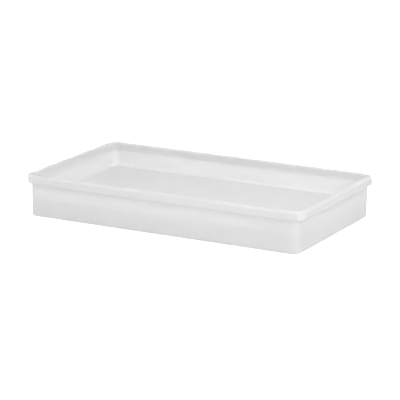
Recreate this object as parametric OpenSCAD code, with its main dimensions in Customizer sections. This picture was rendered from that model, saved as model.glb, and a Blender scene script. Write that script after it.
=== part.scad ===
// Developing tray: one thin-walled moulding with a raised flat floor, four
// drafted walls, rounded corners and a turned-down lip round the top edge.
// The walls run on below the floor as a skirt, and the tray stands on its edge.
// Origin: centre of the base, on the surface that the tray stands on.
// +X runs along the length, +Y across the width and +Z up.

/* [Tray] */
// Length over the lip
length = 400; // [300:5:600]
// Width over the lip
width = 235; // [160:5:450]
// Height from the base to the top of the lip
height = 56; // [50:1:80]
// Corner radius of the lip, seen from above
corner_r = 17; // [17:0.5:40]

/* [Wall] */
// Thickness of the side walls
wall_t = 2.4; // [2:0.1:2.8]
// Outward lean of the walls from the vertical, in degrees
draft = 1; // [0.5:0.1:1.5]
// Radius inside, where the wall meets the floor
cove_r = 4; // [2:0.5:5]
// Radius of the outer edge that the tray stands on
foot_r = 1.6; // [0.6:0.1:1.6]

/* [Lip] */
// How far the lip stands out from the wall
lip_reach = 5.2; // [4.6:0.1:5.6]
// How far the lip turns down from the top
lip_drop = 12; // [9:0.5:16]
// Thickness of the lip
lip_t = 2.2; // [1.8:0.1:2.2]
// Radius of the lip's outer top edge
lip_top_r = 4; // [2:0.1:4.5]
// Radius of the lip's inner top edge
lip_inner_r = 1.4; // [0.4:0.1:1.8]
// Radius of the lip's outer bottom edge
lip_low_r = 1.7; // [0.6:0.1:1.7]
// Radius of every other small edge and hollow
edge_r = 0.8; // [0.4:0.1:0.8]

/* [Floor] */
// Height of the floor's upper face above the base
floor_z = 23; // [10:0.5:25]
// Thickness of the floor
floor_t = 2.6; // [2:0.1:4]

/* [Hidden] */

plastic = [0.89, 0.89, 0.88];
arc_steps = 6;          // straight steps in each round of a section
round_fn = 96;          // sides of a full circle, seen from above
lean = tan(draft);
lip_z = height - lip_drop;
web_z = height - lip_t;
under_z = floor_z - floor_t;
foot_in_r = (wall_t - foot_r) / 2;
lip_low_in_r = (lip_t - lip_low_r) / 2;
half_l = length / 2;
half_w = width / 2;

// Distance inward from the lip's outer face to the wall's two faces, at height z
function outer_u(z) = lip_reach + (height - z) * lean;
function inner_u(z) = outer_u(z) + wall_t / cos(draft);

// The wall's section ends just inward of its cove, where the floor panel begins
floor_inset = inner_u(0) + cove_r + edge_r;

// Points of an arc of radius r about (u, z), from angle a to angle b
function arc(u, z, r, a, b) = [for (i = [0 : arc_steps])
    let (t = a + (b - a) * i / arc_steps) [u + r * cos(t), z + r * sin(t)]];

// A wall in section: u runs inward from the lip's outer face, and z runs up
module wall_section() {
    skirt_hollow_u = inner_u(under_z - edge_r) + edge_r;
    cove_z = floor_z + cove_r;
    polygon(concat(
        [[outer_u(lip_z), lip_z]],
        arc(outer_u(foot_r) + foot_r, foot_r, foot_r, 180, 270),
        arc(inner_u(foot_in_r) - foot_in_r, foot_in_r, foot_in_r, 270, 360),
        arc(skirt_hollow_u, under_z - edge_r, edge_r, 180, 90),
        [[floor_inset, under_z], [floor_inset, floor_z]],
        arc(inner_u(cove_z) + cove_r, cove_z, cove_r, 270, 180),
        [[inner_u(lip_z), lip_z]]
    ));
}

// The lip in section: the top of the wall, the web over it and the turned-down edge
module lip_section() {
    hollow_z = web_z - edge_r;
    polygon(concat(
        [[outer_u(lip_z), lip_z]],
        arc(outer_u(hollow_z) - edge_r, hollow_z, edge_r, 0, 90),
        arc(lip_t + edge_r, hollow_z, edge_r, 90, 180),
        arc(lip_t - lip_low_in_r, lip_z + lip_low_in_r, lip_low_in_r, 360, 270),
        arc(lip_low_r, lip_z + lip_low_r, lip_low_r, 270, 180),
        arc(lip_top_r, height - lip_top_r, lip_top_r, 180, 90),
        arc(inner_u(height - lip_inner_r) - lip_inner_r, height - lip_inner_r, lip_inner_r, 90, 0),
        [[inner_u(lip_z), lip_z]]
    ));
}

// A straight run of a section along the front, with its outer face at -offset
module straight(run, offset) {
    translate([-run / 2, -offset, 0])
        rotate([90, 0, 90])
            linear_extrude(height = run)
                children();
}

// Runs along the front, or the back when it is turned round
module long_side(back) {
    rotate(back ? 180 : 0)
        straight(length - 2 * corner_r, half_w)
            children();
}

// Runs along the right end, or the left one
module short_side(left) {
    rotate(left ? -90 : 90)
        straight(width - 2 * corner_r, half_l)
            children();
}

// A quarter turn of a section about a corner's axis, at any of the four corners
module quarter(left, front) {
    mirror([left ? 1 : 0, 0, 0])
        mirror([0, front ? 1 : 0, 0])
            translate([half_l - corner_r, half_w - corner_r, 0])
                rotate_extrude(angle = 90, $fn = round_fn)
                    translate([corner_r, 0])
                        mirror([1, 0])
                            children();
}

// A rounded rectangle, seen from above, with true corner arcs
module rounded_plate(l, w, r) {
    square([l - 2 * r, w], center = true);
    square([l, w - 2 * r], center = true);
    for (x = [-1, 1], y = [-1, 1])
        translate([x * (l / 2 - r), y * (w / 2 - r)])
            circle(r = r, $fn = round_fn);
}

// The flat floor inside the coves of the walls
module floor_panel() {
    color(plastic)
        translate([0, 0, under_z])
            linear_extrude(height = floor_t)
                rounded_plate(length - 2 * floor_inset, width - 2 * floor_inset, corner_r - floor_inset);
}

module front_wall() { color(plastic) long_side(false) wall_section(); }
module back_wall() { color(plastic) long_side(true) wall_section(); }
module left_wall() { color(plastic) short_side(true) wall_section(); }
module right_wall() { color(plastic) short_side(false) wall_section(); }

module front_left_corner() { color(plastic) quarter(true, true) wall_section(); }
module front_right_corner() { color(plastic) quarter(false, true) wall_section(); }
module back_left_corner() { color(plastic) quarter(true, false) wall_section(); }
module back_right_corner() { color(plastic) quarter(false, false) wall_section(); }

module front_lip() { color(plastic) long_side(false) lip_section(); }
module back_lip() { color(plastic) long_side(true) lip_section(); }
module left_lip() { color(plastic) short_side(true) lip_section(); }
module right_lip() { color(plastic) short_side(false) lip_section(); }

module front_left_lip_corner() { color(plastic) quarter(true, true) lip_section(); }
module front_right_lip_corner() { color(plastic) quarter(false, true) lip_section(); }
module back_left_lip_corner() { color(plastic) quarter(true, false) lip_section(); }
module back_right_lip_corner() { color(plastic) quarter(false, false) lip_section(); }

floor_panel();  // floor
front_wall();
back_wall();
left_wall();
right_wall();
front_left_corner();
front_right_corner();
back_left_corner();
back_right_corner();
front_lip();
back_lip();
left_lip();
right_lip();
front_left_lip_corner();
front_right_lip_corner();
back_left_lip_corner();
back_right_lip_corner();
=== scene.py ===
# Developing tray: one moulding in milky natural polypropylene, on a white sweep
import math

import bpy
from mathutils import Matrix, Vector


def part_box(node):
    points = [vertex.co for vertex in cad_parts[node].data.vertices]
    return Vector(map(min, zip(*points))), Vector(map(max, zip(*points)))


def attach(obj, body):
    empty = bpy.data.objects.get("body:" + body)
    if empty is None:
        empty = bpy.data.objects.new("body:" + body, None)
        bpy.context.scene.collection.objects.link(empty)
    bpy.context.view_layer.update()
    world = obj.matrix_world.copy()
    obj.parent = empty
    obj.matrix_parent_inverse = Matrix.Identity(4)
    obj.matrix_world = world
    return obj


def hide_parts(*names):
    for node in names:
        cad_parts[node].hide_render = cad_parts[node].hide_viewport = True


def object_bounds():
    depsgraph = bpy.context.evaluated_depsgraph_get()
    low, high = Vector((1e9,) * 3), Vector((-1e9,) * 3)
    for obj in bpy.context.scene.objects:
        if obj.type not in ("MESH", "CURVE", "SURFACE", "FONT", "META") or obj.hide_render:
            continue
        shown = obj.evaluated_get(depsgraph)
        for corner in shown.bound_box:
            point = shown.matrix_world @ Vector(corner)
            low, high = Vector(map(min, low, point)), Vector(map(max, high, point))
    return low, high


mm = 0.001

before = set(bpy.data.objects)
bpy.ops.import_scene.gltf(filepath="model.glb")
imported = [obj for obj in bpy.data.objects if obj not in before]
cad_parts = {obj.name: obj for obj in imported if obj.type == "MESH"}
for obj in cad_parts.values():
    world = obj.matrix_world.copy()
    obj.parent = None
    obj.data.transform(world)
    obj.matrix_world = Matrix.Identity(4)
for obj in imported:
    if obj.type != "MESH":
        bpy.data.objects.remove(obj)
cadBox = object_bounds()
print("tray: frame loaded")


# Node trees

def addNode(tree, kind, settings=None, **inputs):
    # A socket is linked if its value is another node's output, and set if it's a plain value
    node = tree.nodes.new(kind)
    for name, value in (settings or {}).items():
        setattr(node, name, value)
    for name, value in inputs.items():
        plug(tree, node, name.replace("_", " "), value)
    return node


def plug(tree, node, name, value):
    socket = node.inputs[name] if isinstance(name, int) else findSocket(node, name)
    if isinstance(value, bpy.types.NodeSocket):
        tree.links.new(value, socket)
    else:
        socket.default_value = value


def findSocket(node, name):
    # Names are matched without regard to capitals, and sockets that are switched off are passed over
    for socket in node.inputs:
        if socket.name.lower() == name.lower() and socket.enabled:
            return socket
    raise KeyError(f"{node.bl_idname} has no input {name}")


def mathNode(tree, operation, *values):
    node = tree.nodes.new("ShaderNodeMath")
    node.operation = operation
    for index, value in enumerate(values):
        plug(tree, node, index, value)
    return node.outputs[0]


# Tray shell: the section is swept round the rim's outline, and its open inner end is closed by the floor

tray = {
    "wall": 2.4 * mm,
    "draft": math.radians(1.0),
    "cornerRadius": 17 * mm,
    "coveRadius": 4 * mm,
    "footRadius": 1.6 * mm,
    "lipReach": 5.2 * mm,
    "lipDrop": 12 * mm,
    "lipThickness": 2.2 * mm,
    "lipTopRadius": 4 * mm,
    "lipInnerRadius": 1.4 * mm,
    "lipLowRadius": 1.7 * mm,
    "edgeRadius": 0.8 * mm,
    "arcSteps": 10,
    "cornerSteps": 24,
    "runCuts": 16,
    "holdLoop": 0.5 * mm,
    "mergeDistance": 0.02 * mm,
    "gateRadius": 3.5 * mm,
    "gateHeight": 0.35 * mm,
    "gateSides": 48,
}


def arcPoints(u, z, radius, start, end):
    # Points of a round in the section, from one angle to another, in degrees
    steps = tray["arcSteps"]
    angles = [math.radians(start + (end - start) * step / steps) for step in range(steps + 1)]
    return [Vector((u + radius * math.cos(a), z + radius * math.sin(a))) for a in angles]


def traySection(height, floorTop, floorUnder, inset):
    # u runs inward from the lip's outer face and z up, from the floor's upper face round to its underside
    lean = math.tan(tray["draft"])
    lipBase = height - tray["lipDrop"]
    edge = tray["edgeRadius"]
    cove = tray["coveRadius"]
    foot = tray["footRadius"]
    lipTop = tray["lipTopRadius"]
    lipInner = tray["lipInnerRadius"]
    lipThick = tray["lipThickness"]
    lipLow = tray["lipLowRadius"]
    lipLowInner = (lipThick - lipLow) / 2
    footInner = (tray["wall"] - foot) / 2
    webTop = height - lipThick - edge

    def outerU(z):
        return tray["lipReach"] + (height - z) * lean

    def innerU(z):
        return outerU(z) + tray["wall"] / math.cos(tray["draft"])

    coveZ = floorTop + cove
    innerZ = height - lipInner
    underZ = floorUnder - edge
    return [Vector((inset, floorTop))] + (
        arcPoints(innerU(coveZ) + cove, coveZ, cove, 270, 180)
        + arcPoints(innerU(innerZ) - lipInner, innerZ, lipInner, 0, 90)
        + arcPoints(lipTop, height - lipTop, lipTop, 90, 180)
        + arcPoints(lipLow, lipBase + lipLow, lipLow, 180, 270)
        + arcPoints(lipThick - lipLowInner, lipBase + lipLowInner, lipLowInner, 270, 360)
        + arcPoints(lipThick + edge, webTop, edge, 180, 90)
        + arcPoints(outerU(webTop) - edge, webTop, edge, 90, 0)
        + arcPoints(outerU(foot) + foot, foot, foot, 180, 270)
        + arcPoints(innerU(footInner) - footInner, footInner, footInner, 270, 360)
        + arcPoints(innerU(underZ) + edge, underZ, edge, 180, 90)
    ) + [Vector((inset, floorUnder))]


def withHoldLoops(points, gap):
    # Extra points close to the ends of each long flat keep its shading flat beside the rounds
    held = [points[0]]
    for before, after in zip(points, points[1:]):
        length = (after - before).length
        if length > 3 * gap:
            step = (after - before) * (gap / length)
            held += [before + step, after - step]
        held.append(after)
    return held


def sectionObject(name, points):
    # Curve to Mesh lays a profile's x outward across this path and its y downward, so both change sign
    curve = bpy.data.curves.new(name, "CURVE")
    curve.dimensions = "3D"
    spline = curve.splines.new("POLY")
    spline.points.add(len(points) - 1)
    for point, place in zip(spline.points, points):
        point.co = (-place.x, -place.y, 0, 1)
    made = bpy.data.objects.new(name, curve)
    bpy.context.scene.collection.objects.link(made)
    return made


def trayShellTree():
    tree = bpy.data.node_groups.new("trayShellTree", "GeometryNodeTree")
    tree.is_modifier = True
    sockets = [
        ("Section", "NodeSocketObject"),
        ("Length", "NodeSocketFloat"),
        ("Width", "NodeSocketFloat"),
        ("Corner Radius", "NodeSocketFloat"),
        ("Corner Steps", "NodeSocketInt"),
        ("Run Cuts", "NodeSocketInt"),
        ("Floor Top", "NodeSocketFloat"),
        ("Floor Under", "NodeSocketFloat"),
        ("Gate Radius", "NodeSocketFloat"),
        ("Gate Height", "NodeSocketFloat"),
        ("Plastic", "NodeSocketMaterial"),
        ("Scar", "NodeSocketMaterial"),
    ]
    for name, kind in sockets:
        tree.interface.new_socket(name=name, in_out="INPUT", socket_type=kind)
    tree.interface.new_socket(name="Geometry", in_out="OUTPUT", socket_type="NodeSocketGeometry")
    given = tree.nodes.new("NodeGroupInput").outputs

    # The outline: a rectangle with round corners, and more points along its straight runs
    outline = addNode(tree, "GeometryNodeCurvePrimitiveQuadrilateral",
                      Width=given["Length"], Height=given["Width"])
    rounded = addNode(tree, "GeometryNodeFilletCurve", {"mode": "POLY"}, Curve=outline.outputs[0],
                      Count=given["Corner Steps"], Radius=given["Corner Radius"])
    index = addNode(tree, "GeometryNodeInputIndex").outputs[0]
    perCorner = mathNode(tree, "ADD", given["Corner Steps"], 1)
    place = mathNode(tree, "MODULO", index, perCorner)
    lastOfCorner = mathNode(tree, "COMPARE", place, given["Corner Steps"], 0.5)
    cuts = mathNode(tree, "MULTIPLY", lastOfCorner, given["Run Cuts"])
    divided = addNode(tree, "GeometryNodeSubdivideCurve", Curve=rounded.outputs[0], Cuts=cuts)
    level = addNode(tree, "GeometryNodeSetCurveNormal", {"mode": "Z_UP"}, Curve=divided.outputs[0])

    section = addNode(tree, "GeometryNodeObjectInfo", Object=given["Section"])
    swept = addNode(tree, "GeometryNodeCurveToMesh", Curve=level.outputs[0],
                    Profile_Curve=section.outputs["Geometry"])

    # The floor fills the loop at the section's upper end, and a turned copy closes the lower one
    faces = addNode(tree, "GeometryNodeInputMeshEdgeNeighbors").outputs[0]
    height = addNode(tree, "ShaderNodeSeparateXYZ",
                     Vector=addNode(tree, "GeometryNodeInputPosition").outputs[0]).outputs["Z"]
    middle = mathNode(tree, "MULTIPLY", mathNode(tree, "ADD", given["Floor Top"], given["Floor Under"]), 0.5)
    isOpen = mathNode(tree, "COMPARE", faces, 1, 0.5)
    isUpper = mathNode(tree, "GREATER_THAN", height, middle)
    upperLoop = mathNode(tree, "MULTIPLY", isOpen, isUpper)
    loop = addNode(tree, "GeometryNodeMeshToCurve", Mesh=swept.outputs[0], Selection=upperLoop)
    filled = addNode(tree, "GeometryNodeFillCurve", {"mode": "NGONS"}, Curve=loop.outputs[0])
    topShift = addNode(tree, "ShaderNodeCombineXYZ", Z=given["Floor Top"]).outputs[0]
    underShift = addNode(tree, "ShaderNodeCombineXYZ", Z=given["Floor Under"]).outputs[0]
    floorTop = addNode(tree, "GeometryNodeTransform", Geometry=filled.outputs[0], Translation=topShift)
    turned = addNode(tree, "GeometryNodeFlipFaces", Mesh=filled.outputs[0])
    floorUnder = addNode(tree, "GeometryNodeTransform", Geometry=turned.outputs[0], Translation=underShift)
    shell = tree.nodes.new("GeometryNodeJoinGeometry")
    for part in (swept, floorTop, floorUnder):
        tree.links.new(part.outputs[0], shell.inputs[0])
    closed = addNode(tree, "GeometryNodeMergeByDistance", Geometry=shell.outputs[0],
                     Distance=tray["mergeDistance"])

    # The scar of the injection gate, at the middle of the underside
    gate = addNode(tree, "GeometryNodeMeshCylinder", Vertices=tray["gateSides"], Radius=given["Gate Radius"],
                   Depth=given["Gate Height"])
    gateShift = addNode(tree, "ShaderNodeCombineXYZ", Z=given["Floor Under"]).outputs[0]
    gatePlaced = addNode(tree, "GeometryNodeTransform", Geometry=gate.outputs[0], Translation=gateShift)
    gateMarked = addNode(tree, "GeometryNodeStoreNamedAttribute", {"data_type": "BOOLEAN", "domain": "FACE"},
                         Geometry=gatePlaced.outputs[0], Name="gate", Value=True)
    smooth = addNode(tree, "GeometryNodeSetShadeSmooth", Geometry=closed.outputs[0])
    whole = tree.nodes.new("GeometryNodeJoinGeometry")
    for part in (gateMarked, smooth):
        tree.links.new(part.outputs[0], whole.inputs[0])

    isGate = addNode(tree, "GeometryNodeInputNamedAttribute", {"data_type": "BOOLEAN"},
                     Name="gate").outputs[0]
    realized = addNode(tree, "GeometryNodeRealizeInstances", Geometry=whole.outputs[0])
    coated = addNode(tree, "GeometryNodeSetMaterial", Geometry=realized.outputs[0],
                     Material=given["Plastic"])
    finished = addNode(tree, "GeometryNodeSetMaterial", Geometry=coated.outputs[0], Selection=isGate,
                       Material=given["Scar"])
    result = tree.nodes.new("NodeGroupOutput")
    tree.links.new(finished.outputs[0], result.inputs["Geometry"])
    return tree


def meshFromTree(name, tree, values):
    # The tree runs on an empty mesh, and its result becomes a plain mesh with no modifier
    carrier = bpy.data.objects.new(name + "Carrier", bpy.data.meshes.new(name + "Carrier"))
    bpy.context.scene.collection.objects.link(carrier)
    modifier = carrier.modifiers.new("build", "NODES")
    modifier.node_group = tree
    for item in tree.interface.items_tree:
        if item.item_type == "SOCKET" and item.in_out == "INPUT" and item.name in values:
            modifier[item.identifier] = values[item.name]
    bpy.context.view_layer.update()
    shown = carrier.evaluated_get(bpy.context.evaluated_depsgraph_get())
    mesh = bpy.data.meshes.new_from_object(shown)
    mesh.name = name
    bpy.data.objects.remove(carrier)
    made = bpy.data.objects.new(name, mesh)
    bpy.context.scene.collection.objects.link(made)
    return made


def makeTrayShell(plastic, scar):
    low, high = cadBox
    floorLow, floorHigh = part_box("floor")
    inset = high.x - floorHigh.x
    points = withHoldLoops(traySection(high.z, floorHigh.z, floorLow.z, inset), tray["holdLoop"])
    section = sectionObject("traySection", points)
    shell = meshFromTree("tray_shell", trayShellTree(), {
        "Section": section,
        "Length": high.x - low.x,
        "Width": high.y - low.y,
        "Corner Radius": tray["cornerRadius"],
        "Corner Steps": tray["cornerSteps"],
        "Run Cuts": tray["runCuts"],
        "Floor Top": floorHigh.z,
        "Floor Under": floorLow.z,
        "Gate Radius": tray["gateRadius"],
        "Gate Height": tray["gateHeight"],
        "Plastic": plastic,
        "Scar": scar,
    })
    bpy.data.objects.remove(section)
    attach(shell, "root")
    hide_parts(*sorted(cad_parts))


# Milky polypropylene

polypropylene = {
    "colour": (0.93, 0.932, 0.932),
    "cloudColour": (0.90, 0.902, 0.90),
    "cloudAmount": 0.45,
    "cloudScale": 14,
    "satinScale": 30,
    "satinRange": (0.3, 0.7),
    "roughness": 0.5,
    "roughnessSpread": 0.10,
    "scuffedRoughness": 0.72,
    "grainScale": 1400,
    "grainDepth": 0.02 * mm,
    "rippleScale": 55,
    "rippleDepth": 0.10 * mm,
    "scatterWeight": 0.9,
    "scatterRadius": 7 * mm,
    "transmission": 0.45,
    "ior": 1.49,
}

gateScar = {
    "colour": (0.80, 0.80, 0.79),
    "roughness": 0.72,
    "roughnessSpread": 0.1,
    "hazeScale": 200,
    "grainScale": 2600,
    "grainDepth": 0.05 * mm,
}

# Haze left by the melt: broken rings round the gate, mixed with cloud
flow = {
    "ringScale": 90,
    "ringDrift": 0.06,
    "ringShare": 0.25,
    "hazeRange": (0.3, 0.7),
}

# Wear: broken scuffs on the foot and lip, and hair scratches along and across the floor
wear = {
    "scuffScale": 180,
    "scuffRange": (0.46, 0.62),
    "footBand": 2.5 * mm,
    "lipBand": 1 * mm,
    "lipShare": 0.5,
    "alongStretch": (8, 620, 620),
    "alongRange": (0.66, 0.70),
    "acrossStretch": (540, 14, 540),
    "acrossRange": (0.68, 0.72),
    "floorBand": 1 * mm,
    "hairShare": 0.6,
}


def groupOf(name, inputs, output):
    # Every effect reads the place on the tray, and gives one value that changes over the surface
    tree = bpy.data.node_groups.new(name, "ShaderNodeTree")
    tree.interface.new_socket(name="Place", in_out="INPUT", socket_type="NodeSocketVector")
    for socketName, value in inputs.items():
        socket = tree.interface.new_socket(name=socketName, in_out="INPUT", socket_type="NodeSocketFloat")
        socket.default_value = value
    tree.interface.new_socket(name=output, in_out="OUTPUT", socket_type="NodeSocketFloat")
    return tree, tree.nodes.new("NodeGroupInput").outputs, tree.nodes.new("NodeGroupOutput")


def noiseAt(tree, place, scale, detail, roughness=0.5):
    return addNode(tree, "ShaderNodeTexNoise", Vector=place, Scale=scale, Detail=detail,
                   Roughness=roughness).outputs[0]


def stretched(tree, place, factors):
    return addNode(tree, "ShaderNodeMapping", Vector=place, Scale=factors).outputs[0]


def rangeOf(tree, value, low, high, outLow=0.0, outHigh=1.0):
    return addNode(tree, "ShaderNodeMapRange", Value=value, From_Min=low, From_Max=high,
                   To_Min=outLow, To_Max=outHigh).outputs[0]


def mouldGrainGroup():
    # The mould's spark-eroded grain over a long, slow ripple
    sizes = {"Grain Scale": polypropylene["grainScale"], "Ripple Scale": polypropylene["rippleScale"],
             "Grain Share": polypropylene["grainDepth"] / polypropylene["rippleDepth"]}
    tree, given, result = groupOf("mouldGrain", sizes, "Height")
    grain = noiseAt(tree, given["Place"], given["Grain Scale"], detail=2.0)
    ripple = noiseAt(tree, given["Place"], given["Ripple Scale"], detail=1.0)
    fine = mathNode(tree, "MULTIPLY", grain, given["Grain Share"])
    tree.links.new(mathNode(tree, "ADD", fine, ripple), result.inputs["Height"])
    return tree


def flowCloudGroup():
    # Haze in the plastic that follows the melt's flow outward from the gate
    tree, given, result = groupOf("flowCloud", {"Cloud Scale": polypropylene["cloudScale"]}, "Haze")
    place = given["Place"]
    radius = addNode(tree, "ShaderNodeVectorMath", {"operation": "LENGTH"}, Vector=place).outputs["Value"]
    wander = noiseAt(tree, place, given["Cloud Scale"], detail=2.0)
    drift = mathNode(tree, "MULTIPLY", wander, flow["ringDrift"])
    rings = addNode(tree, "ShaderNodeTexNoise", {"noise_dimensions": "1D"},
                    W=mathNode(tree, "ADD", radius, drift), Scale=flow["ringScale"], Detail=2.0).outputs[0]
    cloud = noiseAt(tree, place, given["Cloud Scale"], detail=4.0, roughness=0.6)
    both = mathNode(tree, "ADD", mathNode(tree, "MULTIPLY", cloud, 1 - flow["ringShare"]),
                    mathNode(tree, "MULTIPLY", rings, flow["ringShare"]))
    tree.links.new(rangeOf(tree, both, *flow["hazeRange"]), result.inputs["Haze"])
    return tree


def handlingWearGroup():
    # All the wear as one mask, from 0 where the plastic is fresh to 1 where it's rubbed
    sizes = {"Foot Height": wear["footBand"], "Lip Height": cadBox[1][2] - wear["lipBand"],
             "Floor Height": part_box("floor")[1][2]}
    tree, given, result = groupOf("handlingWear", sizes, "Wear")
    place = given["Place"]
    height = addNode(tree, "ShaderNodeSeparateXYZ", Vector=place).outputs["Z"]
    foot = rangeOf(tree, height, given["Foot Height"], 0.0)
    lipTop = mathNode(tree, "ADD", given["Lip Height"], wear["lipBand"])
    lip = mathNode(tree, "MULTIPLY", rangeOf(tree, height, given["Lip Height"], lipTop), wear["lipShare"])
    scuffs = noiseAt(tree, place, wear["scuffScale"], detail=5.0, roughness=0.7)
    broken = rangeOf(tree, scuffs, *wear["scuffRange"])
    rubbed = mathNode(tree, "MULTIPLY", mathNode(tree, "MAXIMUM", foot, lip), broken)
    along = noiseAt(tree, stretched(tree, place, wear["alongStretch"]), 1.0, detail=2.0)
    across = noiseAt(tree, stretched(tree, place, wear["acrossStretch"]), 1.0, detail=2.0)
    hair = mathNode(tree, "MAXIMUM", rangeOf(tree, along, *wear["alongRange"]),
                    rangeOf(tree, across, *wear["acrossRange"]))
    onFloor = mathNode(tree, "COMPARE", height, given["Floor Height"], wear["floorBand"])
    hairOnFloor = mathNode(tree, "MULTIPLY", hair, onFloor)
    scratched = mathNode(tree, "MULTIPLY", hairOnFloor, wear["hairShare"])
    tree.links.new(mathNode(tree, "MAXIMUM", rubbed, scratched), result.inputs["Wear"])
    return tree


def placedGroup(tree, group, **values):
    node = tree.nodes.new("ShaderNodeGroup")
    node.node_tree = group
    for name, value in values.items():
        plug(tree, node, name.replace("_", " "), value)
    return node.outputs[0]


def emptyMaterial(name):
    material = bpy.data.materials.new(name)
    material.use_nodes = True
    tree = material.node_tree
    place = addNode(tree, "ShaderNodeTexCoord").outputs["Object"]
    return material, tree, tree.nodes["Principled BSDF"], place


def makePolypropylene(groups):
    material, tree, shader, place = emptyMaterial("milky_polypropylene")
    haze = placedGroup(tree, groups["flowCloud"], Place=place)
    worn = placedGroup(tree, groups["handlingWear"], Place=place)
    grain = placedGroup(tree, groups["mouldGrain"], Place=place)

    colour = addNode(tree, "ShaderNodeMix", {"data_type": "RGBA"})
    tree.links.new(mathNode(tree, "MULTIPLY", haze, polypropylene["cloudAmount"]), colour.inputs[0])
    colour.inputs[6].default_value = (*polypropylene["colour"], 1)
    colour.inputs[7].default_value = (*polypropylene["cloudColour"], 1)
    tree.links.new(colour.outputs[2], shader.inputs["Base Color"])

    fresh = polypropylene["roughness"]
    halfSpread = polypropylene["roughnessSpread"] / 2
    patches = noiseAt(tree, place, polypropylene["satinScale"], detail=4.0)
    satin = rangeOf(tree, patches, *polypropylene["satinRange"], fresh - halfSpread, fresh + halfSpread)
    scuffed = mathNode(tree, "MULTIPLY", worn, polypropylene["scuffedRoughness"] - fresh)
    tree.links.new(mathNode(tree, "ADD", satin, scuffed), shader.inputs["Roughness"])

    bump = addNode(tree, "ShaderNodeBump", Height=grain, Distance=polypropylene["rippleDepth"], Strength=1.0)
    tree.links.new(bump.outputs[0], shader.inputs["Normal"])

    shader.inputs["IOR"].default_value = polypropylene["ior"]
    shader.inputs["Subsurface Weight"].default_value = polypropylene["scatterWeight"]
    shader.inputs["Subsurface Radius"].default_value = (1, 1, 1)
    shader.inputs["Subsurface Scale"].default_value = polypropylene["scatterRadius"]
    shader.inputs["Transmission Weight"].default_value = polypropylene["transmission"]
    return material


def makeGateScar(groups):
    material, tree, shader, place = emptyMaterial("gate_scar")
    grain = placedGroup(tree, groups["mouldGrain"], Place=place, Grain_Scale=gateScar["grainScale"],
                        Grain_Share=1.0)
    bump = addNode(tree, "ShaderNodeBump", Height=grain, Distance=gateScar["grainDepth"], Strength=1.0)
    tree.links.new(bump.outputs[0], shader.inputs["Normal"])
    haze = placedGroup(tree, groups["flowCloud"], Place=place, Cloud_Scale=gateScar["hazeScale"])
    smoothest = gateScar["roughness"] - gateScar["roughnessSpread"]
    uneven = rangeOf(tree, haze, 0.0, 1.0, smoothest, gateScar["roughness"])
    tree.links.new(uneven, shader.inputs["Roughness"])
    shader.inputs["Base Color"].default_value = (*gateScar["colour"], 1)
    return material


# Stage

stage = {
    "floorSize": 8.0,
    "floorRoughness": 0.9,
    "floorColour": 0.8,
    "floorGlow": 0.16,
    "floorShine": 0.5,
    "skyStrength": 0.52,
    "backdrop": 1.05,
    "lightSize": 1.6,
    "lightDistance": 1.9,
}

# Each soft box's azimuth and elevation as seen from the tray, in degrees, and its radiance
softBoxes = {
    "overhead": (0, 88, 0.5),
    "frontRight": (45, 50, 3.1),
    "right": (90, 48, 0.9),
    "behind": (180, 40, 0.4),
    "leftLow": (-70, 12, 1.6),
}

cameraView = {
    "azimuth": 27.39,
    "elevation": 14.30,
    "roll": -0.70,
    "distance": 2.766,
    "aimUp": 0.02044,
    "aimRight": 0.0003,
    "lens": 189.0,
    "sensor": 36,
    "nearest": 0.1,
    "furthest": 50,
}


def makeCamera():
    turn = math.radians(cameraView["azimuth"])
    rise = math.radians(cameraView["elevation"])
    roll = math.radians(cameraView["roll"])
    back = Vector((math.sin(turn) * math.cos(rise), -math.cos(turn) * math.cos(rise), math.sin(rise)))
    levelRight = Vector((math.cos(turn), math.sin(turn), 0))
    levelUp = back.cross(levelRight)
    right = levelRight * math.cos(roll) - levelUp * math.sin(roll)
    up = levelRight * math.sin(roll) + levelUp * math.cos(roll)
    data = bpy.data.cameras.new("camera")
    data.sensor_width = cameraView["sensor"]
    data.lens = cameraView["lens"]
    data.clip_start = cameraView["nearest"]
    data.clip_end = cameraView["furthest"]
    camera = bpy.data.objects.new("camera", data)
    aim = up * cameraView["aimUp"] + right * cameraView["aimRight"]
    camera.matrix_world = Matrix.Translation(aim + back * cameraView["distance"]) @ Matrix(
        (right, up, back)).transposed().to_4x4()
    bpy.context.scene.collection.objects.link(camera)
    bpy.context.scene.camera = camera


def outwardAt(azimuth, elevation):
    # Azimuth 0 is the tray's front and 90 its right end
    turn = math.radians(azimuth)
    rise = math.radians(elevation)
    return Vector((math.sin(turn) * math.cos(rise), -math.cos(turn) * math.cos(rise), math.sin(rise)))


def seenByCamera(tree):
    return addNode(tree, "ShaderNodeLightPath").outputs["Is Camera Ray"]


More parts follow.
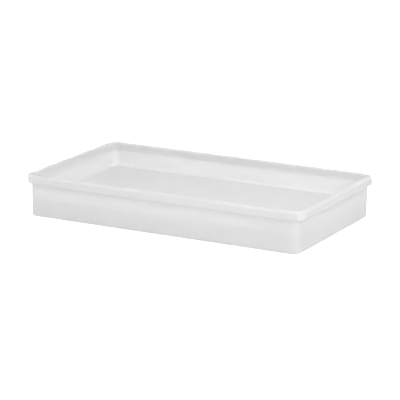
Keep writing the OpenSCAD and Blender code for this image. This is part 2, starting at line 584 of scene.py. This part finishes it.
def makeFloor():
    # The camera sees the sweep brighter than it lights the tray, so that it burns out to white
    mesh = bpy.data.meshes.new("sweep")
    half = stage["floorSize"] / 2
    corners = [(-half, -half, 0), (half, -half, 0), (half, half, 0), (-half, half, 0)]
    mesh.from_pydata(corners, [], [(0, 1, 2, 3)])
    floor = bpy.data.objects.new("sweep", mesh)
    bpy.context.scene.collection.objects.link(floor)
    material = bpy.data.materials.new("white_sweep")
    material.use_nodes = True
    tree = material.node_tree
    shader = tree.nodes["Principled BSDF"]
    shader.inputs["Base Color"].default_value = (stage["floorColour"],) * 3 + (1,)
    shader.inputs["Roughness"].default_value = stage["floorRoughness"]
    shader.inputs["Specular IOR Level"].default_value = 0.0
    shader.inputs["Emission Color"].default_value = (1, 1, 1, 1)
    shown = mathNode(tree, "MULTIPLY", seenByCamera(tree), stage["floorShine"])
    tree.links.new(mathNode(tree, "ADD", shown, stage["floorGlow"]), shader.inputs["Emission Strength"])
    mesh.materials.append(material)


def makeSky():
    # The camera sees a white backdrop, and the tray is lit by a weaker sky and by the soft boxes
    world = bpy.data.worlds.new("studio")
    world.use_nodes = True
    tree = world.node_tree
    background = tree.nodes["Background"]
    background.inputs["Color"].default_value = (1, 1, 1, 1)
    shown = seenByCamera(tree)
    lit = mathNode(tree, "MULTIPLY", mathNode(tree, "SUBTRACT", 1.0, shown), stage["skyStrength"])
    seen = mathNode(tree, "MULTIPLY", shown, stage["backdrop"])
    tree.links.new(mathNode(tree, "ADD", lit, seen), background.inputs["Strength"])
    bpy.context.scene.world = world
    bpy.context.scene.view_settings.view_transform = "Standard"


def makeSoftBox(name, azimuth, elevation, radiance):
    data = bpy.data.lights.new(name, "AREA")
    data.size = stage["lightSize"]
    data.energy = radiance * math.pi * stage["lightSize"] ** 2
    light = bpy.data.objects.new(name, data)
    outward = outwardAt(azimuth, elevation)
    light.location = outward * stage["lightDistance"]
    light.rotation_mode = "QUATERNION"
    light.rotation_quaternion = outward.to_track_quat("Z", "Y")
    light.visible_camera = False
    bpy.context.scene.collection.objects.link(light)


makeCamera()
makeFloor()
makeSky()
for boxName, boxValues in softBoxes.items():
    makeSoftBox(boxName, *boxValues)
print("tray: stage set")
effects = {
    "mouldGrain": mouldGrainGroup(),
    "flowCloud": flowCloudGroup(),
    "handlingWear": handlingWearGroup(),
}
makeTrayShell(makePolypropylene(effects), makeGateScar(effects))
print("tray: shell made")
